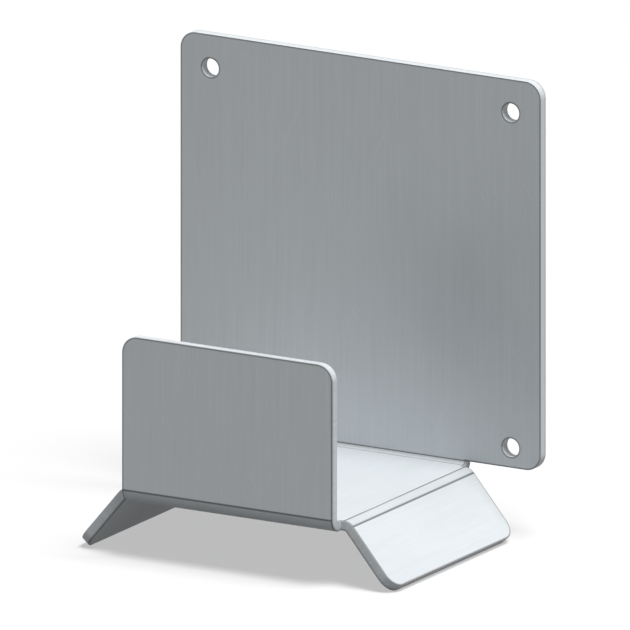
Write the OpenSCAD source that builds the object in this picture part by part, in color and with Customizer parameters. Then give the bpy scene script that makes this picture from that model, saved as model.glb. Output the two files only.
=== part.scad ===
// Wall-mounted charging cable holder, folded from one piece of steel sheet.
// A square wall plate, a floor and a front lip form a cradle for the coiled cable. A wing on
// each side of the floor is folded down, so the hanging turns bend over it and not over an edge.
// Origin: the wall face, at the centre of the four screw holes. +Z is up, the wall is at y = 0
// and the front lip faces -Y.

/* [Sheet] */
// Thickness of the sheet
sheet_t = 3; // [1.5:0.5:5]
// Inner radius of every bend
bend_r = 1; // [0.5:0.5:3]
// Radius of the rounded free corners
corner_r = 5; // [2:0.5:9]

/* [Wall plate] */
// Width of the wall plate
plate_w = 120; // [100:1:200]
// Height of the holder, from the underside of its floor to the top of the wall plate
plate_h = 120; // [90:1:200]
// Diameter of the four screw holes
hole_d = 5.5; // [3.5:0.5:9]
// Distance of a screw hole's centre from the sides and the top of the wall plate
hole_inset = 10; // [8:0.5:20]

/* [Cradle] */
// Depth of the holder, from the wall to the front of the lip
depth = 80; // [50:1:150]
// Width of the floor and of the front lip
cradle_w = 70; // [40:1:85]
// Height of the front lip above the underside of the floor
lip_h = 50; // [25:1:75]

/* [Wings] */
// Angle through which each wing is folded down from the floor
wing_angle = 50; // [20:1:90]
// Flat length of a wing beyond its bend
wing_leaf = 21.6; // [12:0.2:35]
// Gap of the bend relief between a wing and the upward bend beside it
relief_gap = 1; // [0.5:0.5:3]
// Depth of the bend relief, from the side of the upward bend to the start of the wing's bend
relief_depth = 1; // [0.5:0.5:3]

/* [Hidden] */
// How finely the preview draws the arcs and the round holes
$fn = 96;
// Overshoot of a cut beyond the face that it opens
over = 1;
// Outer radius of every bend
outer_r = bend_r + sheet_t;
// Height of the floor's underside
base_z = -plate_h / 2;
// Height at which the wall plate and the lip leave their bends and stand straight
upright_z = base_z + outer_r;
// Length of the flat floor between the two upward bends
floor_len = depth - 2 * outer_r;
// Middle of the holder's depth
mid_y = -depth / 2;
// Length of a wing along the side of the floor
wing_w = floor_len - 2 * relief_gap;
// Distance from the middle of the floor to the start of a wing's bend
wing_x = cradle_w / 2 + relief_depth;
// Distances of the screw holes from the middle of their pattern
hole_x = plate_w / 2 - hole_inset;
hole_z = plate_h / 2 - hole_inset;
// Colour of the bare steel
steel = [0.60, 0.62, 0.63];

// What is cut from a sheet to round its corner at the origin, where it lies at -X and -Y
module corner_waste() {
    difference() {
        translate([-corner_r, -corner_r]) square(corner_r + over);
        translate([-corner_r, -corner_r]) circle(corner_r);
    }
}

// Outline of a flat leaf that stands on the X axis. Its two far corners are rounded, and with
// free = true the two near ones are too
module leaf(w, h, free = false) {
    difference() {
        translate([-w / 2, 0]) square([w, h]);
        for (side = [0, 1], end = free ? [0, 1] : [0])
            translate([0, h / 2])
                mirror([side, 0])
                    mirror([0, end])
                        translate([w / 2, h / 2]) corner_waste();
    }
}

// Section of a bend round the origin, with the flat runs on both sides of it: the sheet comes in
// from -X below the origin, turns up through the angle and runs on straight. An outer form is
// drawn solid, and an inner one is cut from it, so the sheet keeps its thickness all the way
module bend_section(run_in, angle, run_out) {
    far = outer_r + over;
    difference() {
        union() {
            circle(outer_r);
            translate([-run_in, -outer_r]) square([run_in, outer_r]);
            rotate(angle) translate([0, -outer_r]) square([run_out, outer_r]);
        }
        circle(bend_r);
        translate([-run_in - far, -bend_r]) square([run_in + far, bend_r + far]);
        rotate(angle) translate([0, -bend_r]) square([run_out + far, bend_r + far]);
    }
}

// A flat leaf that stands up from the end of an upward bend, with its back face at the given y
module upright(y) {
    translate([0, y, upright_z])
        rotate([90, 0, 0])
            linear_extrude(sheet_t) children();
}

// The wall plate, rounded at all four corners and cut with its screw holes
module wall_plate() {
    upright(0)
        difference() {
            leaf(plate_w, plate_h - outer_r, free = true);
            for (x = [-hole_x, hole_x], z = [-hole_z, hole_z])
                translate([x, z - upright_z]) circle(d = hole_d);
        }
}

// The front lip
module front_lip() {
    upright(sheet_t - depth) leaf(cradle_w, lip_h - outer_r);
}

// The floor and the two upward bends, which reach a little way up into the wall plate and the lip
module channel() {
    translate([0, mid_y, base_z])
        rotate([90, 0, 90])
            linear_extrude(cradle_w, center = true)
                for (end = [0, 1])
                    mirror([end, 0])
                        translate([floor_len / 2, outer_r])
                            bend_section(floor_len / 2 + over, 90, over);
}

// The wing on the +X side. Its section runs from inside the floor, past the reliefs and round the
// downward bend to the slope, and it is trimmed square to that slope, with rounded free corners
module wing() {
    strip_l = relief_depth + over;
    root = strip_l + outer_r;
    translate([wing_x, mid_y, base_z - bend_r])
        rotate([-90, 0, 0])
            intersection() {
                linear_extrude(wing_w + 2 * over, center = true)
                    bend_section(strip_l, wing_angle, wing_leaf + over);
                rotate([0, 0, wing_angle])
                    rotate([0, -90, -90])
                        translate([0, -root, -outer_r - over])
                            linear_extrude(2 * root) leaf(wing_w, root + wing_leaf);
            }
}

// The whole folded sheet
module cable_holder() {
    color(steel)
        union() {
            wall_plate();
            channel();
            front_lip();
            for (side = [0, 1])
                mirror([side, 0, 0]) wing();
        }
}

cable_holder();
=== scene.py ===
import math

import bmesh
import bpy
from mathutils import Matrix, Vector


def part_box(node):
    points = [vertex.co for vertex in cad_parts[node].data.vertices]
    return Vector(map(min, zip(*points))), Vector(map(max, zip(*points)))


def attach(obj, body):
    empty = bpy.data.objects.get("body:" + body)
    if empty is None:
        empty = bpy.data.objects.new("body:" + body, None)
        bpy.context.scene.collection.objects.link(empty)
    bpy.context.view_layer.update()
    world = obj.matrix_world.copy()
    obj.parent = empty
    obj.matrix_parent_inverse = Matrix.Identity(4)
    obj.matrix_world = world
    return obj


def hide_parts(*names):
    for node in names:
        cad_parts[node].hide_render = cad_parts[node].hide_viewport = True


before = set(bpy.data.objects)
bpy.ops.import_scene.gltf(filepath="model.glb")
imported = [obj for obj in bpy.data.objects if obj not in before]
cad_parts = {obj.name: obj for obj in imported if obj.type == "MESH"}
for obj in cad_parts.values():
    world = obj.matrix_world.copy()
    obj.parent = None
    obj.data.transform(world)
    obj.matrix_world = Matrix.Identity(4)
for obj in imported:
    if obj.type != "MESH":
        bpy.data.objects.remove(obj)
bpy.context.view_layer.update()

# Camera. The picture is a parallel projection, turned 30 degrees to the right of the holder's front
# and tipped 15 degrees down. One known point of the holder places it in the picture: the middle of
# the front bottom edge, which the sheet would have if it weren't rounded there by its bend.
IMAGE_PX = 630
PX_PER_M = 3468
KNOWN_PX = (227.0, 518.7)
VIEW_AZIMUTH = math.radians(30)
VIEW_ELEVATION = math.radians(15)
CAMERA_DISTANCE = 2.0
CAMERA_REACH = 20

low, high = (Vector(corner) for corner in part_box("cable_holder"))
FLOOR_UNDERSIDE = -high.z

camera_data = bpy.data.cameras.new("camera")
camera_data.type = "ORTHO"
camera_data.ortho_scale = IMAGE_PX / PX_PER_M
camera_data.clip_end = CAMERA_REACH
camera = bpy.data.objects.new("camera", camera_data)
camera.rotation_euler = (math.pi / 2 - VIEW_ELEVATION, 0, VIEW_AZIMUTH)
turn = camera.rotation_euler.to_matrix()
known_point = Vector((0, low.y, FLOOR_UNDERSIDE))
right_of_middle = (KNOWN_PX[0] - IMAGE_PX / 2) / PX_PER_M
below_middle = (KNOWN_PX[1] - IMAGE_PX / 2) / PX_PER_M
camera.location = known_point + turn @ Vector((-right_of_middle, below_middle, CAMERA_DISTANCE))
bpy.context.scene.collection.objects.link(camera)
bpy.context.scene.camera = camera

# The folded sheet. It is one piece of 3 mm steel, cut out flat by laser, deburred, and then folded
# on a press brake: the wall plate and the lip upwards, and the two wings downwards. It is made here
# in the same order, so the grain and the cut edges follow the sheet round every bend.
SHEET = 0.003
BEND_R = 0.001
BEND_OUTER_R = BEND_R + SHEET
# Where the unstretched fibre lies in a bend, as a share of the thickness from its inner side
K_FACTOR = 0.44
CORNER_R = 0.005
CRADLE_HALF = 0.035
LIP_TOP = FLOOR_UNDERSIDE + 0.050
WING_ANGLE = math.radians(50)
WING_LEAF = 0.0216
RELIEF = 0.001
HOLE_R = 0.00275
# Half the width of the square cell of the blank that a hole is drilled in
HOLE_CELL_HALF = 1.5 * HOLE_R
HOLE_REACH = 0.050
DEBURR = 0.0002
# Width of the band beside a cut that the heat of the beam has tinted
HEAT_BAND = 0.0007
CORNER_STEPS = 10
HOLE_STEPS = 64
STEP_ANGLE = math.radians(5)
SHARP_ANGLE = math.radians(40)
CUT_TOLERANCE = 1e-7

mid_y = (low.y + high.y) / 2
floor_half = (high.y - low.y) / 2 - BEND_OUTER_R
right_angle = math.pi / 2
upward_zone = (BEND_R + K_FACTOR * SHEET) * right_angle
wing_zone = (BEND_R + K_FACTOR * SHEET) * WING_ANGLE
plate_start = floor_half + upward_zone
plate_end = plate_start + high.z - FLOOR_UNDERSIDE - BEND_OUTER_R
lip_end = plate_start + LIP_TOP - FLOOR_UNDERSIDE - BEND_OUTER_R
wing_half = floor_half - RELIEF
wing_start = CRADLE_HALF + RELIEF
wing_end = wing_start + wing_zone + WING_LEAF


def blank_outline():
    """Half of the flat blank's outline, from front to back, and whether each corner is rounded."""
    return [
        (CRADLE_HALF, -lip_end, True),
        (CRADLE_HALF, -wing_half, False),
        (wing_end, -wing_half, True),
        (wing_end, wing_half, True),
        (CRADLE_HALF, wing_half, False),
        (CRADLE_HALF, plate_start, False),
        (high.x, plate_start, True),
        (high.x, plate_end, True),
    ]


def cut(bm, faces, place, direction):
    """Splits the faces along the plane at the place that is square to the direction."""
    parts = set(faces)
    for face in faces:
        parts.update(face.edges)
        parts.update(face.verts)
    bmesh.ops.bisect_plane(
        bm,
        geom=list(parts),
        dist=CUT_TOLERANCE,
        plane_co=place,
        plane_no=direction,
    )


def drill(bm, x, y):
    """Turns the square cell of the blank round a point into a ring of faces round a hole."""
    at = Vector((x, y, FLOOR_UNDERSIDE))
    cell = min(bm.faces, key=lambda face: (face.calc_center_median() - at).length)
    bmesh.ops.subdivide_edges(bm, edges=cell.edges[:], cuts=HOLE_STEPS // 4 - 1)
    cell = min(bm.faces, key=lambda face: (face.calc_center_median() - at).length)
    bmesh.ops.inset_individual(bm, faces=[cell], thickness=DEBURR, use_even_offset=True)
    for vert in cell.verts:
        vert.co = at + (vert.co - at).normalized() * HOLE_R
    bmesh.ops.delete(bm, geom=[cell], context="FACES_ONLY")


def cut_blank(bm):
    """The flat blank in the plane of the floor's underside, with rounded corners and its holes."""
    half = blank_outline()
    outline = half + [(-x, y, rounded) for x, y, rounded in reversed(half)]
    verts = [bm.verts.new((x, mid_y + y, FLOOR_UNDERSIDE)) for x, y, rounded in outline]
    bm.faces.new(verts)
    corners = [vert for vert, (x, y, rounded) in zip(verts, outline) if rounded]
    bmesh.ops.bevel(
        bm,
        geom=corners,
        offset=CORNER_R,
        segments=CORNER_STEPS,
        profile=0.5,
        affect="VERTICES",
        material=-1,
    )
    for y in (-plate_start, -floor_half, floor_half, plate_start):
        cut(bm, bm.faces[:], (0, mid_y + y, 0), (0, 1, 0))
    sides = (-HOLE_CELL_HALF, HOLE_CELL_HALF)
    hole_columns = (-HOLE_REACH, HOLE_REACH)
    hole_rows = (plate_end - high.z - HOLE_REACH, plate_end - high.z + HOLE_REACH)
    cuts = [((x + side, 0, 0), (1, 0, 0)) for x in hole_columns for side in sides]
    cuts += [((0, mid_y + y + side, 0), (0, 1, 0)) for y in hole_rows for side in sides]
    for place, direction in cuts:
        plate = [face for face in bm.faces if face.calc_center_median().y - mid_y > plate_start]
        cut(bm, plate, place, direction)
    for x in hole_columns:
        for y in hole_rows:
            drill(bm, x, mid_y + y)


def thicken(bm):
    """Marks the band beside the cut edges, gives the blank its thickness and deburrs its edges."""
    bmesh.ops.inset_region(
        bm,
        faces=bm.faces[:],
        thickness=HEAT_BAND,
        use_even_offset=True,
        use_boundary=True,
    )
    cut_edge = bm.verts.layers.float.new("cut_edge")
    for vert in bm.verts:
        vert[cut_edge] = 1.0 if vert.is_boundary else 0.0
    grown = bmesh.ops.extrude_face_region(bm, geom=bm.faces[:])
    raised = [part for part in grown["geom"] if isinstance(part, bmesh.types.BMVert)]
    bmesh.ops.translate(bm, verts=raised, vec=(0, 0, SHEET))
    bmesh.ops.recalc_face_normals(bm, faces=bm.faces[:])
    walls = {face for face in bm.faces if abs(face.normal.z) < 0.5}
    for face in walls:
        face.material_index = 1
    depth = bm.verts.layers.float.new("depth")
    for vert in bm.verts:
        vert[depth] = (vert.co.z - FLOOR_UNDERSIDE) / SHEET
    arrises = [edge for edge in bm.edges if len(walls.intersection(edge.link_faces)) == 1]
    bmesh.ops.bevel(
        bm,
        geom=arrises,
        offset=DEBURR,
        segments=2,
        profile=0.5,
        affect="EDGES",
        material=-1,
    )


def mark_grain(bm):
    """Keeps each point's place on the flat blank as its UV, so the patterns fold with the sheet."""
    sheet_uv = bm.loops.layers.uv.new("sheet")
    for face in bm.faces:
        for loop in face.loops:
            loop[sheet_uv].uv = (loop.vert.co.x, loop.vert.co.y - mid_y)


def fold(bm, leaf, start, onward, axis, angle, zone):
    """Rolls the leaf round an axis from its start line on, over a zone of the blank."""
    steps = round(abs(angle) / STEP_ANGLE)
    for step in range(steps + 1):
        cut(bm, leaf(), start + onward * zone * step / steps, onward)
    rows = {}
    for vert in {vert for face in leaf() for vert in face.verts}:
        row = min(round((vert.co - start).dot(onward) / zone * steps), steps)
        rows.setdefault(row, []).append(vert)
    hinge = Vector((0, 0, 1)).cross(onward)
    for row in range(1, steps + 1):
        share = row / steps
        bmesh.ops.translate(bm, verts=rows[row], vec=-onward * zone * share)
        turned = Matrix.Rotation(angle * share, 3, hinge)
        bmesh.ops.rotate(bm, verts=rows[row], cent=axis, matrix=turned)


def fold_up(bm, toward):
    """Folds the wall plate (toward = 1) or the front lip (toward = -1) upwards from the floor."""

    def leaf():
        reaches = [(face, (face.calc_center_median().y - mid_y) * toward) for face in bm.faces]
        return [face for face, reach in reaches if reach > floor_half]

    start = Vector((0, mid_y + toward * floor_half, FLOOR_UNDERSIDE))
    axis = start + Vector((0, 0, BEND_OUTER_R))
    fold(bm, leaf, start, Vector((0, toward, 0)), axis, -right_angle, upward_zone)


def fold_down(bm, side):
    """Folds the wing on one side downwards from the floor."""
    start = Vector((side * wing_start, mid_y, FLOOR_UNDERSIDE))
    axis = start - Vector((0, 0, BEND_R))
    top = FLOOR_UNDERSIDE + SHEET + DEBURR

    def is_on_wing(middle):
        return middle.x * side > 0 and middle.z < top and abs(middle.y - mid_y) < floor_half

    def leaf():
        return [face for face in bm.faces if is_on_wing(face.calc_center_median())]

    fold(bm, leaf, start, Vector((side, 0, 0)), axis, WING_ANGLE, wing_zone)


def add_node(tree, kind, feeds=None, **settings):
    """Adds a node with its settings, and feeds its inputs with values or with other sockets."""
    node = tree.nodes.new(kind)
    for name, value in settings.items():
        setattr(node, name, value)
    for key, value in (feeds or {}).items():
        if isinstance(value, bpy.types.NodeSocket):
            tree.links.new(value, node.inputs[key])
        else:
            node.inputs[key].default_value = value
    return node


def calc(tree, operation, *values):
    """The result of a Math node on its values or sockets."""
    feeds = dict(enumerate(values))
    return add_node(tree, "ShaderNodeMath", feeds, operation=operation).outputs[0]


def spread(tree, value, from_range, to_range):
    """A value carried over from one range to another, and held at its ends."""
    feeds = {0: value, 1: from_range[0], 2: from_range[1], 3: to_range[0], 4: to_range[1]}
    return add_node(tree, "ShaderNodeMapRange", feeds).outputs[0]


def between(tree, share, from_value, to_value):
    """A value that goes from one to the other as the share goes from 0 to 1."""
    return spread(tree, share, (0, 1), (from_value, to_value))


def noise(tree, place, scale, detail, rough=0.5):
    """A noise over the flat blank, with its scale across and along the grain."""
    fitted = add_node(tree, "ShaderNodeMapping", {"Vector": place, "Scale": (*scale, 1)})
    feeds = {"Vector": fitted.outputs[0], "Scale": 1.0, "Detail": detail, "Roughness": rough}
    return add_node(tree, "ShaderNodeTexNoise", feeds).outputs[0]


def new_group(name, gives):
    """An empty shader node group that takes a place on the blank, and the ends of its sockets."""
    tree = bpy.data.node_groups.new(name, "ShaderNodeTree")
    tree.interface.new_socket("Place", in_out="INPUT", socket_type="NodeSocketVector")
    for socket in gives:
        tree.interface.new_socket(socket, in_out="OUTPUT", socket_type="NodeSocketFloat")
    place = tree.nodes.new("NodeGroupInput").outputs["Place"]
    return tree, place, tree.nodes.new("NodeGroupOutput").inputs


# The patterns' scales are in waves per metre, across and along the grain
FINE_STREAKS = (2400, 38)
BROAD_STREAKS = (420, 9)
FINE_SHARE = 0.65
CLOUDS = (34, 17)
# The values that nearly all of a noise lies between, and their middle
NOISE_SPAN = (0.3, 0.7)
NOISE_MIDDLE = 0.5


def rolled_grain():
    """Rolled and brushed grain: fine and broad streaks along the sheet, and soft clouds."""
    tree, place, gives = new_group("rolled_grain", ("Streaks", "Clouds"))
    fine = noise(tree, place, FINE_STREAKS, detail=3, rough=0.6)
    broad = noise(tree, place, BROAD_STREAKS, detail=2)
    broad = calc(tree, "MULTIPLY", broad, 1 - FINE_SHARE)
    streaks = calc(tree, "MULTIPLY_ADD", fine, FINE_SHARE, broad)
    tree.links.new(spread(tree, streaks, NOISE_SPAN, (0, 1)), gives["Streaks"])
    clouds = noise(tree, place, CLOUDS, detail=3, rough=0.55)
    tree.links.new(spread(tree, clouds, NOISE_SPAN, (0, 1)), gives["Clouds"])
    return tree


SCRATCH_ANGLES = (math.radians(24), math.radians(-37))
SCRATCH_LINES = (1500, 22)
SCRATCH_PATCHES = (60, 60)
# The noise values between which a scratch, or a patch of them, fades in
SCRATCH_RIM = (0.69, 0.74)
PATCH_RIM = (0.5, 0.62)


def handling_marks():
    """A few hairline scratches that cross the grain at two angles, gathered in patches."""
    tree, place, gives = new_group("handling_marks", ("Scratches",))
    patches = noise(tree, place, SCRATCH_PATCHES, detail=1)
    patches = spread(tree, patches, PATCH_RIM, (0, 1))
    lines = []
    for angle in SCRATCH_ANGLES:
        feeds = {"Vector": place, "Rotation": (0, 0, angle), "Location": (angle, 0, 0)}
        turned = add_node(tree, "ShaderNodeMapping", feeds)
        thin = noise(tree, turned.outputs[0], SCRATCH_LINES, detail=1, rough=0.4)
        lines.append(spread(tree, thin, SCRATCH_RIM, (0, 1)))
    lines = calc(tree, "MAXIMUM", *lines)
    tree.links.new(calc(tree, "MULTIPLY", lines, patches), gives["Scratches"])
    return tree


# Half the width of the line that a fold leaves along its side
FOLD_LINE = 0.00035


def fold_marks():
    """The zones of the bends, where the sheet is stretched, and the faint line left along each side
    of it.
    """
    tree, place, gives = new_group("fold_marks", ("Bend_zone", "Lines"))
    parts = add_node(tree, "ShaderNodeSeparateXYZ", {0: place}).outputs
    x = calc(tree, "ABSOLUTE", parts["X"])
    y = calc(tree, "ABSOLUTE", parts["Y"])

    def zone_and_lines(reach, start, length):
        half = length / 2
        from_mid = calc(tree, "ABSOLUTE", calc(tree, "SUBTRACT", reach, start + half))
        zone = spread(tree, from_mid, (half - FOLD_LINE, half), (1, 0))
        from_line = calc(tree, "ABSOLUTE", calc(tree, "SUBTRACT", from_mid, half))
        return zone, spread(tree, from_line, (FOLD_LINE / 4, FOLD_LINE), (1, 0))

    upward, upward_lines = zone_and_lines(y, floor_half, upward_zone)
    wing, wing_lines = zone_and_lines(x, wing_start, wing_zone)
    beside_floor = calc(tree, "LESS_THAN", y, wing_half + RELIEF / 2)
    wing = calc(tree, "MULTIPLY", wing, beside_floor)
    wing_lines = calc(tree, "MULTIPLY", wing_lines, beside_floor)
    tree.links.new(calc(tree, "MAXIMUM", upward, wing), gives["Bend_zone"])
    tree.links.new(calc(tree, "MAXIMUM", upward_lines, wing_lines), gives["Lines"])
    return tree


def new_material(name):
    """A new material with its nodes and its shader."""
    material = bpy.data.materials.new(name)
    material.use_nodes = True
    return material, material.node_tree, material.node_tree.nodes["Principled BSDF"]


def place_and_depth(tree):
    """A point's place on the blank, and its depth in the sheet: 0 on the underside, 1 on top."""
    place = add_node(tree, "ShaderNodeUVMap", uv_map="sheet").outputs[0]
    return place, add_node(tree, "ShaderNodeAttribute", attribute_name="depth").outputs["Fac"]


STEEL = (0.588, 0.62, 0.641)
METALLIC = 0.3
SPECULAR = 0.05


def steel_in(tree, tone):
    """The steel's colour, made lighter or darker by a tone."""
    feeds = {0: STEEL, "Scale": tone}
    return add_node(tree, "ShaderNodeVectorMath", feeds, operation="SCALE").outputs[0]


def finish_steel(tree, shader, base, rough, height, relief):
    """Feeds the steel's shader with its colour, its roughness and a relief of the given depth."""
    bump = add_node(tree, "ShaderNodeBump", {"Height": height, "Distance": relief})
    tree.links.new(base, shader.inputs["Base Color"])
    tree.links.new(rough, shader.inputs["Roughness"])
    tree.links.new(bump.outputs[0], shader.inputs["Normal"])
    shader.inputs["Metallic"].default_value = METALLIC
    shader.inputs["Specular IOR Level"].default_value = SPECULAR


# The depth in the sheet where its underside begins, and how far the pattern is shifted there, so
# that the two sides are marked differently
MID_DEPTH = 0.5
UNDERSIDE_SHIFT = (0.31, 0.17, 0)
# The heat tint beside a cut, where it fades in on its band, and how much of it covers the steel
HEAT_TINT = (0.11, 0.105, 0.10, 1)
HEAT_RIM = (0.1, 0.7)
HEAT_SHARE = 0.8
# How light each mark makes the steel
STREAK_TONES = (0.955, 1.045)
CLOUD_TONES = (-0.03, 0.03)
SCRATCH_TONE = 0.06
FOLD_LINE_TONE = 0.3
# The bends are made darker, partly for the stretched steel and partly as painted shade that deepens
# the front bend where it turns down
BEND_STRETCH_AND_SHADE_TONE = 0.9
# The steel's roughness under the clouds, and what each mark adds to it
CLOUD_ROUGHNESS = (0.40, 0.48)
STREAK_ROUGHNESS = 0.06
STRETCHED_ROUGHNESS = 0.08
SCRATCH_ROUGHNESS = -0.1
# How high the grain stands, and how high each mark stands beside it
GRAIN_RELIEF = 0.00002
FOLD_LINE_HEIGHT = -1.5
SCRATCH_HEIGHT = -1.0


def satin_steel(grain_group, scratch_group, fold_group):
    """The sheet's faces: rolled, lightly brushed grey steel, tinted by heat beside each cut, and
    darker over the bends, partly as stretched steel and partly as painted shade.
    """
    material, tree, shader = new_material("satin_steel")
    place, depth = place_and_depth(tree)
    on_underside = calc(tree, "LESS_THAN", depth, MID_DEPTH)
    feeds = {0: on_underside, 1: UNDERSIDE_SHIFT, 2: place}
    marks_at = add_node(tree, "ShaderNodeVectorMath", feeds, operation="MULTIPLY_ADD").outputs[0]
    grain = add_node(tree, "ShaderNodeGroup", {"Place": marks_at}, node_tree=grain_group).outputs
    marks = add_node(tree, "ShaderNodeGroup", {"Place": marks_at}, node_tree=scratch_group).outputs
    folds = add_node(tree, "ShaderNodeGroup", {"Place": place}, node_tree=fold_group).outputs
    cut_edge = add_node(tree, "ShaderNodeAttribute", attribute_name="cut_edge").outputs["Fac"]

    tone = between(tree, grain["Streaks"], *STREAK_TONES)
    tone = calc(tree, "ADD", tone, between(tree, grain["Clouds"], *CLOUD_TONES))
    tone = calc(tree, "MULTIPLY_ADD", marks["Scratches"], SCRATCH_TONE, tone)
    tone = calc(tree, "MULTIPLY", tone, between(tree, folds["Lines"], 1, FOLD_LINE_TONE))
    # Painted shade in part: every bend is darkened, partly for the stretched steel and partly to
    # deepen the shade on the downward-turning front bend
    tone = calc(tree, "MULTIPLY", tone, between(tree, folds["Bend_zone"], 1, BEND_STRETCH_AND_SHADE_TONE))
    tint = spread(tree, cut_edge, HEAT_RIM, (0, HEAT_SHARE))
    feeds = {0: tint, 6: steel_in(tree, tone), 7: HEAT_TINT}
    base = add_node(tree, "ShaderNodeMix", feeds, data_type="RGBA").outputs[2]

    rough = between(tree, grain["Clouds"], *CLOUD_ROUGHNESS)
    rough = calc(tree, "MULTIPLY_ADD", grain["Streaks"], STREAK_ROUGHNESS, rough)
    rough = calc(tree, "MULTIPLY_ADD", folds["Bend_zone"], STRETCHED_ROUGHNESS, rough)
    rough = calc(tree, "MULTIPLY_ADD", marks["Scratches"], SCRATCH_ROUGHNESS, rough)

    height = calc(tree, "MULTIPLY_ADD", folds["Lines"], FOLD_LINE_HEIGHT, grain["Streaks"])
    height = calc(tree, "MULTIPLY_ADD", marks["Scratches"], SCRATCH_HEIGHT, height)
    finish_steel(tree, shader, base, rough, height, GRAIN_RELIEF)
    return material


# The striations are strongest at the underside, where the beam came out, and fade above it
STRIATIONS = (1900, 1900)
STRIATION_DEPTHS = (0, 0.7)
STRIATION_STRENGTHS = (1, 0.45)
STRIATION_TONE = 0.5
STRIATION_ROUGHNESS = 0.3
STRIATION_RELIEF = 0.00006
CUT_ROUGHNESS = 0.5
# The depths between which the burnt line along the underside ends, and the tones there
BURNT_DEPTHS = (0.04, 0.26)
BURNT_TONES = (0.42, 0.97)


def laser_cut_edge():
    """The cut thickness: fine striations across it, and a burnt line where the beam came out."""
    material, tree, shader = new_material("laser_cut_edge")
    place, depth = place_and_depth(tree)
    strength = spread(tree, depth, STRIATION_DEPTHS, STRIATION_STRENGTHS)
    striations = noise(tree, place, STRIATIONS, detail=2, rough=0.6)
    striations = calc(tree, "SUBTRACT", striations, NOISE_MIDDLE)
    striations = calc(tree, "MULTIPLY", striations, strength)
    tone = calc(tree, "MULTIPLY_ADD", striations, STRIATION_TONE, 1.0)
    tone = calc(tree, "MULTIPLY", tone, spread(tree, depth, BURNT_DEPTHS, BURNT_TONES))
    rough = calc(tree, "MULTIPLY_ADD", striations, STRIATION_ROUGHNESS, CUT_ROUGHNESS)
    finish_steel(tree, shader, steel_in(tree, tone), rough, striations, STRIATION_RELIEF)
    return material


sheet_bm = bmesh.new()
cut_blank(sheet_bm)
thicken(sheet_bm)
mark_grain(sheet_bm)
fold_up(sheet_bm, 1)
fold_up(sheet_bm, -1)
fold_down(sheet_bm, 1)
fold_down(sheet_bm, -1)
bmesh.ops.recalc_face_normals(sheet_bm, faces=sheet_bm.faces[:])
for face in sheet_bm.faces:
    face.smooth = True
for edge in sheet_bm.edges:
    edge.smooth = edge.calc_face_angle() < SHARP_ANGLE
sheet_mesh = bpy.data.meshes.new("folded_sheet")
sheet_bm.to_mesh(sheet_mesh)
sheet_bm.free()
sheet_mesh.materials.append(satin_steel(rolled_grain(), handling_marks(), fold_marks()))
sheet_mesh.materials.append(laser_cut_edge())
folded_sheet = bpy.data.objects.new("folded_sheet", sheet_mesh)
bpy.context.scene.collection.objects.link(folded_sheet)
flat_faces = folded_sheet.modifiers.new("keep_flat_faces_flat", "WEIGHTED_NORMAL")
flat_faces.weight = 100
flat_faces.keep_sharp = True

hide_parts("cable_holder")
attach(folded_sheet, "root")

# The stage: a plain white floor under the wings, which keeps the holder's soft shadow. To the
# camera and in reflections it is white, and it throws only a little light back at the steel. It
# shows from above only, so the holder can be looked at from below too.
STAGE_REACH = 6.0
STAGE_SEEN = 0.31
STAGE_BOUNCE = 0.04
STAGE_GLOW = 0.48


def is_seen(tree):
    """1 for the camera's rays and those that a surface reflects or lets through, otherwise 0."""
    rays = add_node(tree, "ShaderNodeLightPath").outputs
    seen = calc(tree, "MAXIMUM", rays["Is Camera Ray"], rays["Is Glossy Ray"])
    return calc(tree, "MAXIMUM", seen, rays["Is Transmission Ray"])


stage_bm = bmesh.new()
bmesh.ops.create_grid(stage_bm, x_segments=1, y_segments=1, size=STAGE_REACH)
bmesh.ops.translate(stage_bm, verts=stage_bm.verts[:], vec=(0, 0, low.z))
stage_mesh = bpy.data.meshes.new("stage_floor")
stage_bm.to_mesh(stage_mesh)
stage_bm.free()
stage_floor = bpy.data.objects.new("stage_floor", stage_mesh)
bpy.context.scene.collection.objects.link(stage_floor)

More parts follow.
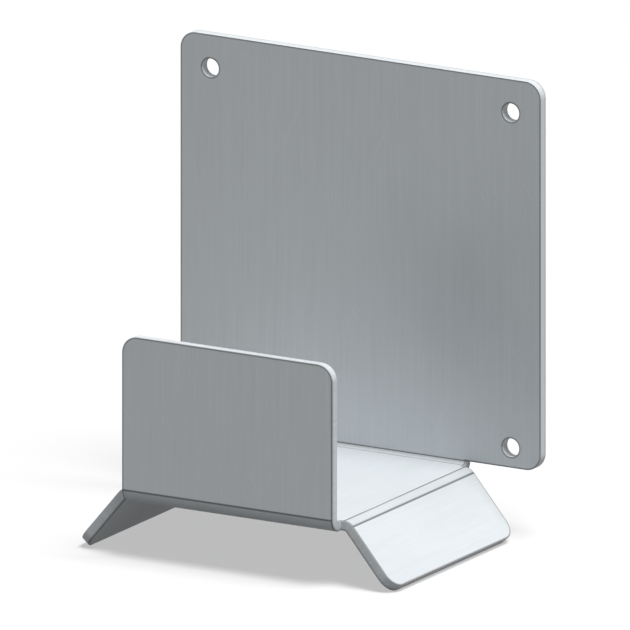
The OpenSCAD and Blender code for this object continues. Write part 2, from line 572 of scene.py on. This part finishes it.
paper, paper_tree, paper_shader = new_material("stage_paper")
paper_seen = is_seen(paper_tree)
paper_grey = between(paper_tree, paper_seen, STAGE_BOUNCE, STAGE_SEEN)
paper_tree.links.new(paper_grey, paper_shader.inputs["Base Color"])
paper_shader.inputs["Roughness"].default_value = 1.0
paper_shader.inputs["Specular IOR Level"].default_value = 0.0
paper_shader.inputs["Emission Color"].default_value = (1, 1, 1, 1)
glow = calc(paper_tree, "MULTIPLY", paper_seen, STAGE_GLOW)
paper_tree.links.new(glow, paper_shader.inputs["Emission Strength"])
from_below = add_node(paper_tree, "ShaderNodeNewGeometry").outputs["Backfacing"]
opaque = calc(paper_tree, "SUBTRACT", 1.0, from_below)
paper_tree.links.new(opaque, paper_shader.inputs["Alpha"])
stage_mesh.materials.append(paper)

# The light: a broad diffused lamp high on the right, a little in front, which leaves no hard shine
# on the steel, a weak bare one beside it for the sheen, and a weak even light all round. Where the
# floor ends, the steel reflects a white studio.
LAMP_TOWARD = Vector((0.37, -0.085, 0.925))
KEY_POWER = 5.1
KEY_SPREAD = math.radians(30)
SHEEN_POWER = 0.45
SHEEN_SPREAD = math.radians(50)
EVEN_LEVEL = 0.08

for name, power, spread_angle, shines in (
    ("key_lamp", KEY_POWER, KEY_SPREAD, False),
    ("sheen_lamp", SHEEN_POWER, SHEEN_SPREAD, True),
):
    lamp_data = bpy.data.lights.new(name, "SUN")
    lamp_data.energy = power
    lamp_data.angle = spread_angle
    lamp = bpy.data.objects.new(name, lamp_data)
    lamp.location = LAMP_TOWARD
    lamp.rotation_euler = LAMP_TOWARD.to_track_quat("Z", "Y").to_euler()
    lamp.visible_glossy = shines
    bpy.context.scene.collection.objects.link(lamp)

studio = bpy.data.worlds.new("white_studio")
studio.use_nodes = True
studio_tree = studio.node_tree
studio_light = studio_tree.nodes["Background"]
studio_level = between(studio_tree, is_seen(studio_tree), EVEN_LEVEL, 1)
studio_light.inputs["Color"].default_value = (1, 1, 1, 1)
studio_tree.links.new(studio_level, studio_light.inputs["Strength"])
bpy.context.scene.world = studio

bpy.context.scene.view_settings.view_transform = "Standard"
